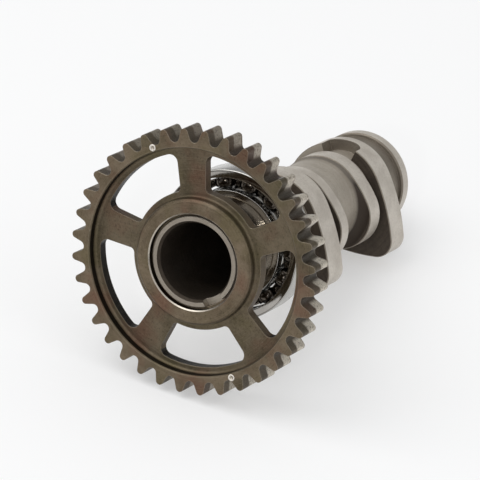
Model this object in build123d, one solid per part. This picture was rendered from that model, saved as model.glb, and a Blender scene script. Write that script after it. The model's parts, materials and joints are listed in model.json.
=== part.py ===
from build123d import *
from math import acos, asin, atan, atan2, cos, degrees, pi, radians, sin, sqrt
import os

# A hollow camshaft for a single-cylinder engine, with its silent-chain sprocket pressed on the
# front end and an open ball bearing behind it. It lies as it would on a bench: on two sprocket
# teeth and on its rear journal, with the shaft running towards +Y and sloping down a little.
#
# Every piece is drawn about the shaft's own axis first. There, Z runs from the sprocket's front
# face to the rear, Y points down at the bench and X to the side, and an angle is counted from X
# towards Y. Sizes are in millimetres and degrees.

# Sprocket teeth and rim
tooth_count = 36
chain_pitch = 6.35
tooth_depth = 3.63
tooth_tip_radius = 1.05
tooth_gap_radius = 1.4
sprocket_width = 7.95
rim_land_width = 1.7
rim_chamfer = 0.35
front_recess_depth = 3.0
rear_recess_depth = 1.95
recess_fillet_radius = 1.0

# Sprocket web, windows and hub
spoke_count = 5
spoke_angle = 39.3
spoke_width_at_hub = 7.5
spoke_width_at_rim = 8.7
window_rim_wall = 1.75
window_hub_wall = 1.75
window_rim_corner_radius = 2.2
window_hub_corner_radius = 1.4
hub_radius = 17.25
hub_face_depth = 0.4
hub_edge_chamfer = 0.7
hub_root_fillet_radius = 0.8
rear_root_fillet_radius = 0.5
hub_bore_chamfer = 0.3
hub_relief_width = 0.65
hub_relief_depth = 2.0
boss_radius = 13.6
boss_length = 13.05
boss_chamfer = 0.4
timing_dot_radius = 0.65
timing_dot_depth = 0.4
timing_dot_circle_radius = 32.35
timing_dot_angle = 57.5

# Ball bearing, open, of the 25 by 42 by 9 size
bearing_bore_radius = 12.5
bearing_width = 9.0
bearing_chamfer = 0.5
inner_ring_wall = 2.8
outer_ring_wall = 2.3
ring_gap = 3.4
shoulder_chamfer = 0.2
ball_radius = 2.381
ball_count = 14
first_ball_angle = 17.7
race_clearance = 0.08

# Ribbon cage of the bearing, pressed in two halves and riveted
cage_thickness = 0.6
cage_width = 2.1
cage_pocket_clearance = 0.1
rivet_radius = 0.42
rivet_head_radius = 0.7
rivet_head_height = 0.3

# Shaft
tube_end_depth = 1.2
tube_chamfer = 0.2
front_bore_radius = 10.63
front_bore_depth = 38.0
rear_bore_radius = 7.0
bore_mouth_width = 0.58
bore_mouth_depth = 1.0
rear_bore_chamfer = 0.4
notch_angle = 50.0
notch_width = 5.8
notch_depth = 2.7
shoulder_radius = 14.6
shoulder_width = 3.5
front_neck_radius = 12.3
front_neck_length = 12.7
lobe_neck_radius = 11.5
barrel_radius = 12.3
barrel_length = 14.1
barrel_blend_radius = 3.5
rear_neck_radius = 13.2
rear_neck_length = 7.3
journal_radius = 14.35
journal_width = 4.0
journal_chamfer = 0.4

# Lobes, from front to rear: an outer wide one, an inner narrow one, the barrel, an inner narrow
# one and an outer wide one. The wide pair share one profile and the narrow pair another.
outer_base_radius = 14.73
outer_lift_height = 8.26
outer_nose_radius = 4.95
outer_flank_radius = 53.0
outer_nose_angle = 31.3
front_outer_width = 9.0
rear_outer_width = 8.6
inner_base_radius = 12.92
inner_lift_height = 3.93
inner_nose_radius = 10.03
inner_flank_radius = 33.0
inner_nose_angle = 19.0
front_inner_width = 4.7
rear_inner_width = 6.4
front_lobe_gap = 3.8
rear_lobe_gap = 2.8
lobe_chamfer = 0.25

# Pocket milled into the base circle of the rear wide lobe, down to the neck
pocket_angle = -95.0
pocket_span = 43.0
pocket_width = 5.3
pocket_corner_radius = 3.0

# Stations along the shaft and radii of the rim, worked out from the sizes above
tip_radius = chain_pitch / (2 * sin(pi / tooth_count))
root_radius = tip_radius - tooth_depth
recess_radius = root_radius - rim_land_width
inner_shoulder_radius = bearing_bore_radius + inner_ring_wall
outer_shoulder_radius = inner_shoulder_radius + ring_gap
ball_pitch_radius = (inner_shoulder_radius + outer_shoulder_radius) / 2
bearing_outer_radius = outer_shoulder_radius + outer_ring_wall
bearing_front = sprocket_width + boss_length
bearing_rear = bearing_front + bearing_width
bearing_middle = bearing_front + bearing_width / 2
shoulder_end = bearing_rear + shoulder_width
front_outer_start = shoulder_end + front_neck_length
front_outer_end = front_outer_start + front_outer_width
front_inner_start = front_outer_end + front_lobe_gap
front_inner_end = front_inner_start + front_inner_width
rear_inner_start = front_inner_end + barrel_length
rear_inner_end = rear_inner_start + rear_inner_width
rear_outer_start = rear_inner_end + rear_lobe_gap
rear_outer_end = rear_outer_start + rear_outer_width
pocket_end = rear_outer_start + pocket_width
journal_start = rear_outer_end + rear_neck_length
shaft_end = journal_start + journal_width

outer_profile = (outer_base_radius, outer_lift_height, outer_nose_radius, outer_flank_radius)
inner_profile = (inner_base_radius, inner_lift_height, inner_nose_radius, inner_flank_radius)


def polar(radius, angle, height=0.0):
    """A point at a radius and an angle about the shaft, at a station along it."""
    return Vector(radius * cos(radians(angle)), radius * sin(radians(angle)), height)


def mirrored(point):
    """The same point on the other side of the X axis."""
    return Vector(point.X, -point.Y)


def turned(points, rounds=()):
    """A turned solid from (radius, station) points in order, some of its corners rounded."""
    section = make_face(Polyline(points, close=True))
    for corner, radius in rounds:
        section = fillet(section.vertices().sort_by_distance(corner)[0], radius)
    return revolve(Rot(90, 0, 0) * section, Axis.Z)


def disc(radius, start, end):
    """A plain cylinder about the shaft between two stations."""
    return Pos(0, 0, start) * extrude(Circle(radius), end - start)


def toothed_face():
    """The toothed outline: rounded tips and roots joined by straight flanks."""
    half_pitch = 180 / tooth_count
    tip_centre = polar(tip_radius - tooth_tip_radius, 0)
    root_centre = polar(root_radius + tooth_gap_radius, half_pitch)
    between = root_centre - tip_centre
    # The flank touches the tip's arc on one side and the root's arc on the other.
    swing = degrees(acos((tooth_tip_radius + tooth_gap_radius) / between.length))
    normal = degrees(atan2(between.Y, between.X)) - swing
    tip_touch = tip_centre + polar(tooth_tip_radius, normal)
    root_touch = root_centre - polar(tooth_gap_radius, normal)
    far_root_touch = mirrored(root_touch).rotate(Axis.Z, 2 * half_pitch)
    far_tip_touch = mirrored(tip_touch).rotate(Axis.Z, 2 * half_pitch)
    edges = []
    for tooth in range(tooth_count):
        # A gap points straight down, so the sprocket lies on two teeth.
        place = Rot(0, 0, 90 + (2 * tooth + 1) * half_pitch)
        edges += [
            place * ThreePointArc(mirrored(tip_touch), (tip_radius, 0), tip_touch),
            place * Line(tip_touch, root_touch),
            place * ThreePointArc(root_touch, polar(root_radius, half_pitch), far_root_touch),
            place * Line(far_root_touch, far_tip_touch),
        ]
    return make_face(edges)


def window_face(angle):
    """One window between two spokes, with its corners rounded."""
    inner = hub_radius + window_hub_wall
    outer = recess_radius - window_rim_wall
    half_step = 180 / spoke_count
    at_hub = half_step - degrees(asin(spoke_width_at_hub / 2 / inner))
    at_rim = half_step - degrees(asin(spoke_width_at_rim / 2 / outer))
    window = make_face([
        ThreePointArc(polar(inner, -at_hub), (inner, 0), polar(inner, at_hub)),
        Line(polar(inner, at_hub), polar(outer, at_rim)),
        ThreePointArc(polar(outer, at_rim), (outer, 0), polar(outer, -at_rim)),
        Line(polar(outer, -at_rim), polar(inner, -at_hub)),
    ])
    for side in (-1, 1):
        at_rim_corner = window.vertices().sort_by_distance(polar(outer, side * at_rim))[0]
        window = fillet(at_rim_corner, window_rim_corner_radius)
        at_hub_corner = window.vertices().sort_by_distance(polar(inner, side * at_hub))[0]
        window = fillet(at_hub_corner, window_hub_corner_radius)
    return Rot(0, 0, angle) * window


def cam_sprocket():
    """Toothed rim, thinner spoked web, thick hub and the boss that meets the bearing."""
    rim = extrude(toothed_face(), sprocket_width)
    rim -= disc(recess_radius + rim_chamfer, 0, sprocket_width)
    web_front = front_recess_depth
    web_rear = sprocket_width - rear_recess_depth
    hub_rear = sprocket_width - hub_face_depth
    relief_radius = bearing_bore_radius + hub_relief_width
    rear_flat_width = hub_radius - hub_edge_chamfer - boss_radius
    inside = turned(
        [
            (bearing_bore_radius, hub_face_depth + hub_relief_depth),
            (relief_radius, hub_face_depth + hub_relief_depth),
            (relief_radius, hub_face_depth + hub_bore_chamfer),
            (relief_radius + hub_bore_chamfer, hub_face_depth),
            (hub_radius - hub_edge_chamfer, hub_face_depth),
            (hub_radius, hub_face_depth + hub_edge_chamfer),
            (hub_radius, web_front),
            (recess_radius, web_front),
            (recess_radius, rim_chamfer),
            (recess_radius + rim_chamfer, 0),
            (recess_radius + rim_chamfer, sprocket_width),
            (recess_radius, sprocket_width - rim_chamfer),
            (recess_radius, web_rear),
            (hub_radius, web_rear),
            (hub_radius, hub_rear - hub_edge_chamfer),
            (hub_radius - hub_edge_chamfer, hub_rear),
            (boss_radius, hub_rear),
            (boss_radius, bearing_front - boss_chamfer),
            (boss_radius - boss_chamfer, bearing_front),
            (bearing_bore_radius, bearing_front),
        ],
        rounds=[
            ((hub_radius, web_front), hub_root_fillet_radius),
            ((recess_radius, web_front), recess_fillet_radius),
            ((recess_radius, web_rear), recess_fillet_radius),
            ((hub_radius, web_rear), rear_root_fillet_radius),
            ((boss_radius, hub_rear), min(hub_root_fillet_radius, 0.9 * rear_flat_width)),
        ],
    )
    body = rim + inside
    for spoke in range(spoke_count):
        angle = spoke_angle + (spoke + 0.5) * 360 / spoke_count
        body -= extrude(window_face(angle), sprocket_width)
    dot = Pos(0, 0, timing_dot_depth / 2) * Cone(timing_dot_radius, 0, timing_dot_depth)
    for side in (0, 180):
        body -= Pos(polar(timing_dot_circle_radius, timing_dot_angle + side)) * dot
    return body


def lobe_centres(base_radius, lift, nose_radius, flank_radius):
    """The nose's centre distance, and the flank arc's centre along the nose and across it."""
    nose = base_radius + lift - nose_radius
    to_base = flank_radius - base_radius
    to_nose = flank_radius - nose_radius
    along = (to_base**2 - to_nose**2 + nose**2) / (2 * nose)
    across = sqrt(to_base**2 - along**2)
    return nose, along, across


def lobe_face(base_radius, lift, nose_radius, flank_radius):
    """A lobe's outline, nose along X: base circle, two convex flanks and the nose, all tangent."""
    nose, along, across = lobe_centres(base_radius, lift, nose_radius, flank_radius)
    flank = Vector(along, -across)
    to_base = (Vector(0, 0) - flank).normalized()
    to_nose = (Vector(nose, 0) - flank).normalized()
    on_base = flank + to_base * flank_radius
    on_nose = flank + to_nose * flank_radius
    on_flank = flank + (to_base + to_nose).normalized() * flank_radius
    return make_face([
        ThreePointArc(mirrored(on_nose), (nose + nose_radius, 0), on_nose),
        ThreePointArc(on_nose, on_flank, on_base),
        ThreePointArc(on_base, (-base_radius, 0), mirrored(on_base)),
        ThreePointArc(mirrored(on_base), mirrored(on_flank), mirrored(on_nose)),
    ])


def lobe_solid(profile, angle, start, width):
    """A ground lobe with its sharp edges broken."""
    lobe = extrude(lobe_face(*profile), width)
    rims = lobe.edges().filter_by(Plane.XY)
    return Pos(0, 0, start) * Rot(0, 0, angle) * chamfer(rims, lobe_chamfer)


def barrel_blend(wall, side):
    """The blend from the barrel up a narrow lobe's side face, trimmed to the lobe's outline."""
    start = wall + side * barrel_blend_radius
    reach = barrel_radius + barrel_blend_radius
    bend = barrel_blend_radius * (1 - cos(pi / 4))
    inside = rear_bore_radius
    section = make_face([
        Line((inside, start), (barrel_radius, start)),
        ThreePointArc((barrel_radius, start), (barrel_radius + bend, wall + side * bend), (reach, wall)),
        Line((reach, wall), (inside, wall)),
        Line((inside, wall), (inside, start)),
    ])
    collar = revolve(Rot(90, 0, 0) * section, Axis.Z)
    base_radius, lift, nose_radius, flank_radius = inner_profile
    edge = lobe_chamfer
    trimmed = (base_radius - edge, lift, nose_radius - edge, flank_radius - edge)
    outline = Rot(0, 0, inner_nose_angle) * lobe_face(*trimmed)
    return collar & (Pos(0, 0, min(wall, start)) * extrude(outline, barrel_blend_radius))


def pocket_cutter():
    """The milled pocket: open at the lobe's front, square at one end and rounded at the other."""
    reach = 2 * outer_base_radius
    start = rear_outer_start - lobe_chamfer
    low = pocket_angle - pocket_span / 2
    high = pocket_angle + pocket_span / 2
    wedge = make_face([
        Line((0, 0), polar(reach, low)),
        ThreePointArc(polar(reach, low), polar(reach, pocket_angle), polar(reach, high)),
        Line(polar(reach, high), (0, 0)),
    ])
    block = Pos(0, 0, start) * extrude(wedge, pocket_end - start)
    block -= disc(lobe_neck_radius, start, pocket_end)
    at_end = block.faces().sort_by(Axis.Z)[-1].edges().filter_by(GeomType.LINE)
    corner = at_end.sort_by_distance(polar(reach, high, pocket_end))[0]
    return fillet(corner, pocket_corner_radius)


def camshaft():
    """The one-piece shaft: tube, shoulder, four lobes, barrel, rear neck and journal."""
    start = tube_end_depth
    in_front_outer = (front_outer_start + front_outer_end) / 2
    in_front_inner = (front_inner_start + front_inner_end) / 2
    in_rear_inner = (rear_inner_start + rear_inner_end) / 2
    body = turned([
        (0, start),
        (bearing_bore_radius - tube_chamfer, start),
        (bearing_bore_radius, start + tube_chamfer),
        (bearing_bore_radius, bearing_rear),
        (shoulder_radius, bearing_rear),
        (shoulder_radius, shoulder_end),
        (front_neck_radius, shoulder_end),
        (front_neck_radius, in_front_outer),
        (lobe_neck_radius, in_front_outer),
        (lobe_neck_radius, in_front_inner),
        (barrel_radius, in_front_inner),
        (barrel_radius, in_rear_inner),
        (lobe_neck_radius, in_rear_inner),
        (lobe_neck_radius, pocket_end),
        (rear_neck_radius, pocket_end),
        (rear_neck_radius, journal_start),
        (journal_radius - journal_chamfer, journal_start),
        (journal_radius, journal_start + journal_chamfer),
        (journal_radius, shaft_end - journal_chamfer),
        (journal_radius - journal_chamfer, shaft_end),
        (0, shaft_end),
    ])
    body += lobe_solid(outer_profile, outer_nose_angle, front_outer_start, front_outer_width)
    body += lobe_solid(inner_profile, inner_nose_angle, front_inner_start, front_inner_width)
    body += lobe_solid(inner_profile, inner_nose_angle, rear_inner_start, rear_inner_width)
    rear_lobe = lobe_solid(outer_profile, outer_nose_angle, rear_outer_start, rear_outer_width)
    body += rear_lobe - pocket_cutter()
    body += barrel_blend(front_inner_end, 1)
    body += barrel_blend(rear_inner_start, -1)
    step = front_bore_radius - rear_bore_radius
    body -= turned([
        (0, start),
        (front_bore_radius + bore_mouth_width, start),
        (front_bore_radius, start + bore_mouth_depth),
        (front_bore_radius, start + front_bore_depth),
        (rear_bore_radius, start + front_bore_depth + step),
        (rear_bore_radius, shaft_end - rear_bore_chamfer),
        (rear_bore_radius + rear_bore_chamfer, shaft_end),
        (0, shaft_end),
    ])
    slot = Box(bearing_bore_radius, notch_width, notch_depth)
    slot = Pos(bearing_bore_radius, 0, start + notch_depth / 2) * slot
    return body - Rot(0, 0, notch_angle) * slot


def bearing_ring(inside, outside, inside_chamfer, outside_chamfer):
    """One bearing ring with its race, from its inner and outer radius."""
    front, rear = bearing_front, bearing_rear
    ring = turned([
        (inside + inside_chamfer, front),
        (outside - outside_chamfer, front),
        (outside, front + outside_chamfer),
        (outside, rear - outside_chamfer),
        (outside - outside_chamfer, rear),
        (inside + inside_chamfer, rear),
        (inside, rear - inside_chamfer),
        (inside, front + inside_chamfer),
    ])
    return ring - Pos(0, 0, bearing_middle) * Torus(ball_pitch_radius, ball_radius + race_clearance)


def ball_angle(index):
    """Where a ball sits round the bearing, or the middle between two for half an index."""
    return first_ball_angle + 360 / ball_count * index


def ball(index):
    """One ball of the bearing."""
    return Pos(polar(ball_pitch_radius, ball_angle(index), bearing_middle)) * Sphere(ball_radius)


def cage_half(side):
    """Half of the ribbon cage: the front one for side -1, the rear one for side 1."""
    ribbon = Circle(ball_pitch_radius + cage_width / 2) - Circle(ball_pitch_radius - cage_width / 2)
    pocket = ball_radius + cage_pocket_clearance
    shell = pocket + cage_thickness
    places = [Pos(polar(ball_pitch_radius, ball_angle(index))) for index in range(ball_count)]
    between = [Pos(polar(ball_pitch_radius, ball_angle(index + 0.5))) for index in range(ball_count)]
    flat = extrude(ribbon, side * cage_thickness)
    band = extrude(ribbon, side * shell)
    body = flat + (band & (Part() + [place * Sphere(shell) for place in places]))
    body -= [place * Sphere(pocket) for place in places]
    body -= [place * Cylinder(rivet_radius, 4 * cage_thickness) for place in between]
    return Pos(0, 0, bearing_middle) * body


def cage_rivets():
    """The rivets that hold the two halves of the cage, each with a flat head at both ends."""
    end = cage_thickness + rivet_head_height
    crown = rivet_head_radius - rivet_head_height
    rivet = turned([
        (0, -end),
        (crown, -end),
        (rivet_head_radius, -cage_thickness),
        (rivet_radius, -cage_thickness),
        (rivet_radius, cage_thickness),
        (rivet_head_radius, cage_thickness),
        (crown, end),
        (0, end),
    ])
    places = [
        Pos(polar(ball_pitch_radius, ball_angle(index + 0.5), bearing_middle))
        for index in range(ball_count)
    ]
    return Compound([place * rivet for place in places])


def lobe_reach(profile, angle):
    """How far a lobe reaches from the shaft's axis in a direction at an angle from its nose."""
    base_radius, lift, nose_radius, flank_radius = profile
    nose, along, across = lobe_centres(*profile)
    away = abs((angle + 180) % 360 - 180)
    if away <= degrees(atan2(across, nose - along)):
        return nose * cos(radians(away)) + nose_radius
    if away <= degrees(atan2(across, -along)):
        return flank_radius + along * cos(radians(away)) - across * sin(radians(away))
    return base_radius


def slope_onto(reach, station):
    """The slope that lowers a point of the shaft onto the bench while two teeth stay on it."""
    teeth = (tip_radius - tooth_tip_radius) * cos(pi / tooth_count) + tooth_tip_radius
    return atan((teeth - reach) / (station - sprocket_width))


def lying_slope():
    """The slope at which the shaft lies: the first of its rear parts to reach the bench stops it."""
    return min(
        slope_onto(journal_radius, shaft_end - journal_chamfer),
        slope_onto(journal_radius - journal_chamfer, shaft_end),
        slope_onto(lobe_reach(outer_profile, 90 - outer_nose_angle), rear_outer_end),
    )


pieces = {
    "camshaft": camshaft(),
    "cam_sprocket": cam_sprocket(),
    "bearing_inner_ring": bearing_ring(
        bearing_bore_radius, inner_shoulder_radius, bearing_chamfer, shoulder_chamfer
    ),
    "bearing_outer_ring": bearing_ring(
        outer_shoulder_radius, bearing_outer_radius, shoulder_chamfer, bearing_chamfer
    ),
    "cage_front_half": cage_half(-1),
    "cage_rear_half": cage_half(1),
    "cage_rivets": cage_rivets(),
}
for number in range(ball_count):
    pieces[f"ball_{number + 1:02d}"] = ball(number)

slope = lying_slope()
lying = Plane(origin=(0, 0, 0), x_dir=(1, 0, 0), z_dir=(0, cos(slope), -sin(slope)))
laid = {name: lying.location * piece for name, piece in pieces.items()}
box = Compound(list(laid.values())).bounding_box()
to_origin = Pos(-(box.min.X + box.max.X) / 2, -(box.min.Y + box.max.Y) / 2, -box.min.Z)

os.makedirs("parts", exist_ok=True)
for name, piece in laid.items():
    export_step(to_origin * piece, f"parts/{name}.step")

print("slope of the shaft, degrees:", round(degrees(slope), 4))
print("axis at the sprocket's front face, mm:", [round(value, 4) for value in to_origin.position])
print("size, mm:", [round(value, 3) for value in box.size])
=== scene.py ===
# %% [markdown]
# # A camshaft with its chain sprocket and ball bearing
#
# The object is a small engine's camshaft. A toothed sprocket is pressed on its front end, a ball
# bearing sits behind the sprocket, and four lobes stand on the hollow shaft. It lies on a pale
# bench on two teeth and on its rear journal.
#
# The measured model is loaded first, as a frame that every other piece is placed in. Then each
# piece gets the shape and the finish that the eye expects: turned faces, ground lobes, dark cast
# sides, polished balls.

# %% Load the measured model
import json
from math import acos, atan2, cos, degrees, hypot, pi, radians, sin, sqrt

import bmesh
import bpy
from mathutils import Matrix, Vector


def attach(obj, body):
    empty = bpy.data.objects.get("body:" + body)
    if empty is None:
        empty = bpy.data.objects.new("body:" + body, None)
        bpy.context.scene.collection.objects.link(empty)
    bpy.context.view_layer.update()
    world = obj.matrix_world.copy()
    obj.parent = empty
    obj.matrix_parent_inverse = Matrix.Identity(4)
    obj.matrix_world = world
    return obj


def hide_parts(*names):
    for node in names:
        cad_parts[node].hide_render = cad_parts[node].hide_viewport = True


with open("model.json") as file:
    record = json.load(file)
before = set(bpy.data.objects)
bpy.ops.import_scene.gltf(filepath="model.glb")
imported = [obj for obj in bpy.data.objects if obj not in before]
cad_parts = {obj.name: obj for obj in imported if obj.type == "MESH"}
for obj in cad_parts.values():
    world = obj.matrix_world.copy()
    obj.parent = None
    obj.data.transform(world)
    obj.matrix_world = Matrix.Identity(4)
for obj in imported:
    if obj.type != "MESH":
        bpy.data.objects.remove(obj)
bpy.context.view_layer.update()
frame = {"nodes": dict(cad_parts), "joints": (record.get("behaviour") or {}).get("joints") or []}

# %% [markdown]
# ## The shaft's own frame
#
# The shaft slopes down to the rear, so it would be awkward to draw round things in the bench's
# axes. Every piece is drawn about the shaft instead, in millimetres: Z runs along the shaft from
# the sprocket's front face, Y points down at the bench and X to the side. One matrix, worked out
# from the bearing's joint, then lays the finished mesh in its place.

# %% A matrix from shaft millimetres to bench metres
BEARING_MIDDLE = 25.5
outer_race_joint = next(j for j in frame["joints"] if j["name"] == "outer_race_spin")
along = Vector(outer_race_joint["axis"]).normalized()
side = Vector((1.0, 0.0, 0.0))
down = along.cross(side)
front_centre = Vector(outer_race_joint["pos_m"]) - along * BEARING_MIDDLE / 1000
shaft_turn = Matrix((side, down, along)).transposed()
laid = Matrix.Translation(front_centre) @ shaft_turn.to_4x4() @ Matrix.Scale(0.001, 4)
print("slope of the shaft:", round(degrees(atan2(-along.z, along.y)), 2), "degrees")


def polar(radius, angle, station=0.0):
    """A point at a radius and an angle in degrees about the shaft."""
    return Vector((radius * cos(radians(angle)), radius * sin(radians(angle)), station))


# %% [markdown]
# ## Small helpers for meshes
#
# Real round pieces are turned on a lathe, so most of them are made here by turning a half
# section about the shaft. Corners of a section are rounded first, as the lathe tool leaves them.

# %% Half sections with rounded corners
def arc_points(centre, start, end, steps):
    """Points on the shorter arc about a centre from one point to another, both included."""
    radius = hypot(start[0] - centre[0], start[1] - centre[1])
    first = atan2(start[1] - centre[1], start[0] - centre[0])
    last = atan2(end[1] - centre[1], end[0] - centre[0])
    swing = (last - first + pi) % (2 * pi) - pi
    turns = [first + swing * step / steps for step in range(steps + 1)]
    return [(centre[0] + radius * cos(t), centre[1] + radius * sin(t)) for t in turns]


CORNER_STEPS = 6


def rounded_section(corners):
    """A closed outline from (x, y, corner radius) entries, its corners rounded."""
    outline = []
    count = len(corners)
    for index, (x, y, radius) in enumerate(corners):
        if radius == 0:
            outline.append((x, y))
            continue
        here = Vector((x, y))
        before = Vector(corners[index - 1][:2]) - here
        after = Vector(corners[(index + 1) % count][:2]) - here
        half = before.angle(after) / 2
        before.normalize()
        after.normalize()
        reach = radius * cos(half) / sin(half)
        middle = here + (before + after).normalized() * radius / sin(half)
        outline += arc_points(middle, here + before * reach, here + after * reach, CORNER_STEPS)
    return outline


print("steps to a rounded corner:", CORNER_STEPS)


# %% Objects from a bmesh, and turned pieces
def new_piece(name, mesh):
    """Puts a mesh in the scene as an object."""
    piece = bpy.data.objects.new(name, mesh)
    bpy.context.scene.collection.objects.link(piece)
    return piece


def piece_from(bm, name):
    """An object from a bmesh as it is."""
    mesh = bpy.data.meshes.new(name)
    bm.to_mesh(mesh)
    bm.free()
    return new_piece(name, mesh)


def closed_piece(bm, name):
    """An object from a bmesh, its doubled points merged and its faces turned outwards."""
    bmesh.ops.remove_doubles(bm, verts=bm.verts, dist=0.0005)
    bmesh.ops.recalc_face_normals(bm, faces=bm.faces)
    return piece_from(bm, name)


def turned_piece(name, section, steps=360):
    """A ring-shaped piece turned from a closed half section of (radius, station) points."""
    bm = bmesh.new()
    rings = []
    for step in range(steps):
        turn = 2 * pi * step / steps
        rings.append([bm.verts.new((r * cos(turn), r * sin(turn), z)) for r, z in section])
    for step in range(steps):
        here, there = rings[step], rings[(step + 1) % steps]
        for index in range(len(section)):
            after = (index + 1) % len(section)
            bm.faces.new((here[index], there[index], there[after], here[after]))
    return closed_piece(bm, name)


# %% [markdown]
# A helper turns live modifiers into a plain mesh, because the exported model holds no modifiers.
# Another lays the mesh in its place and shades it smooth up to a chosen edge angle. A third gives
# each face its own finish by where it lies, as a real piece is ground on one face and left rough
# on the next.

# %% Plain meshes, laid in place
def make_plain(piece):
    """Replaces a piece's mesh by what its modifiers make of it."""
    bpy.context.view_layer.update()
    seen = piece.evaluated_get(bpy.context.evaluated_depsgraph_get())
    mesh = bpy.data.meshes.new_from_object(seen)
    piece.modifiers.clear()
    piece.data = mesh


def lay_down(piece, material, sharp=30):
    """Moves a finished mesh from the shaft's frame to the bench and gives it its finish."""
    mesh = piece.data
    mesh.transform(laid)
    mesh.materials.clear()
    mesh.materials.append(material)
    mesh.shade_smooth()
    mesh.set_sharp_from_angle(angle=radians(sharp))
    print(piece.name, len(mesh.polygons), "faces")


def finish_by_place(piece, finishes, rule):
    """Gives each face one of several finishes, by its station, radius and direction."""
    mesh = piece.data
    mesh.materials.clear()
    for finish in finishes:
        mesh.materials.append(finish)
    to_shaft = laid.inverted()
    turn_back = shaft_turn.transposed()
    for face in mesh.polygons:
        centre = to_shaft @ face.center
        facing = (turn_back @ face.normal).normalized()
        radius = hypot(centre.x, centre.y)
        outwards = (facing.x * centre.x + facing.y * centre.y) / max(radius, 0.001)
        face.material_index = rule(centre, radius, facing.z, outwards)


def join_into(target, other):
    """Adds the mesh of another piece to one, as one piece of metal."""
    bm = bmesh.new()
    bm.from_mesh(target.data)
    bm.from_mesh(other.data)
    bm.to_mesh(target.data)
    bm.free()
    bpy.data.objects.remove(other)


# %% [markdown]
# ## Colours and nodes
#
# A colour is written as the six-digit value that a paint program shows. The renderer works with
# linear light, so one function converts it. Another adds a node to a tree and sets or links its
# inputs, which keeps each material short enough to read.

# %% One colour function and one node function
def linear(code):
    """Linear RGBA from an sRGB hex value such as 5d5342."""
    shades = [int(code[i:i + 2], 16) / 255 for i in (0, 2, 4)]
    return [s / 12.92 if s <= 0.04045 else ((s + 0.055) / 1.055) ** 2.4 for s in shades] + [1.0]


def put(tree, kind, inputs=None, **settings):
    """Adds a node, sets its settings, and links or sets its inputs by name or number."""
    node = tree.nodes.new(kind)
    for name, value in settings.items():
        setattr(node, name, value)
    for name, value in (inputs or {}).items():
        if isinstance(value, bpy.types.NodeSocket):
            tree.links.new(value, node.inputs[name])
        else:
            node.inputs[name].default_value = value
    return node


def maths(tree, way, first, second):
    """One step of arithmetic on two values, such as ADD or MULTIPLY."""
    return put(tree, "ShaderNodeMath", {0: first, 1: second}, operation=way).outputs[0]


def spread(tree, value, low, high, to_low=0.0, to_high=1.0):
    """Stretches the range low to high of a value to another range."""
    ends = {"From Min": low, "From Max": high, "To Min": to_low, "To Max": to_high}
    return put(tree, "ShaderNodeMapRange", {"Value": value, **ends}).outputs["Result"]


def blend_colours(tree, share, first, second, mode="MIX"):
    """The colour between two others by a share, for the trees below."""
    mix = put(tree, "ShaderNodeMix", {"Factor": share}, data_type="RGBA", blend_type=mode)
    for number, colour in ((6, first), (7, second)):
        if isinstance(colour, str):
            mix.inputs[number].default_value = linear(colour)
        else:
            tree.links.new(colour, mix.inputs[number])
    return mix.outputs[2]


# %% [markdown]
# Every finish reads the place of a point in the shaft's own millimetres, so a pattern's scale is
# a count per millimetre, and the pattern stays on the metal when a piece turns. A mapping node
# set to texture coordinates undoes the slope of the shaft.

# %% A new finish, and its patterns in shaft millimetres
def new_finish(name):
    """An empty material with its tree, and the coordinates in the shaft's own millimetres."""
    material = bpy.data.materials.new(name)
    material.use_nodes = True
    tree = material.node_tree
    tree.nodes.clear()
    in_shaft = put(tree, "ShaderNodeMapping", {
        "Vector": put(tree, "ShaderNodeTexCoord").outputs["Object"],
        "Location": front_centre,
        "Rotation": shaft_turn.to_euler(),
        "Scale": (0.001, 0.001, 0.001),
    }, vector_type="TEXTURE").outputs["Vector"]
    return material, tree, in_shaft


def places(tree, in_shaft):
    """The radius about the shaft, the side X and the station Z of a point, by name."""
    parts = put(tree, "ShaderNodeSeparateXYZ", {"Vector": in_shaft}).outputs
    flat = put(tree, "ShaderNodeVectorMath", {0: in_shaft, 1: (1, 1, 0)}, operation="MULTIPLY")
    radius = put(tree, "ShaderNodeVectorMath", {0: flat.outputs[0]}, operation="LENGTH")
    return {"radius": radius.outputs["Value"], "X": parts["X"], "Z": parts["Z"]}


def noise(tree, in_shaft, per_mm, detail, roughness=0.5, seed=None):
    """A soft noise with about per_mm patches in a millimetre; a seed gives another pattern."""
    inputs = {"Vector": in_shaft, "Scale": per_mm, "Detail": detail, "Roughness": roughness}
    if seed is None:
        return put(tree, "ShaderNodeTexNoise", inputs).outputs["Fac"]
    inputs["W"] = seed
    return put(tree, "ShaderNodeTexNoise", inputs, noise_dimensions="4D").outputs["Fac"]


# %% [markdown]
# Metal that was cut on a lathe or a grinder shows fine lines where the tool went round. On a flat
# face they are rings, on a cylinder they are hoops. A noise that only looks at the radius plus the
# station gives both. Real grooves are about 0.1 mm apart, too fine for this picture, so they are
# drawn from 0.2 to 0.5 mm wide on cut faces, and coarser in the bore and on the cast skin.

# %% Lines left by a tool that goes round the shaft
def tool_lines(tree, in_shaft, per_mm):
    """A fine striped noise round the shaft, about per_mm stripes in a millimetre."""
    spot = places(tree, in_shaft)
    across_lines = maths(tree, "ADD", spot["radius"], spot["Z"])
    inputs = {"W": across_lines, "Scale": per_mm, "Detail": 3.0, "Roughness": 0.7}
    return put(tree, "ShaderNodeTexNoise", inputs, noise_dimensions="1D").outputs["Fac"]


# %% [markdown]
# Handling rubs the edges of a metal piece pale. The shader's own bevel rounds the normal near an
# edge, and where it differs from the true normal an edge is near. That finds the edges in any
# pose and needs no painting. The rounded normal also makes the edge catch light as a real one.

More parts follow.
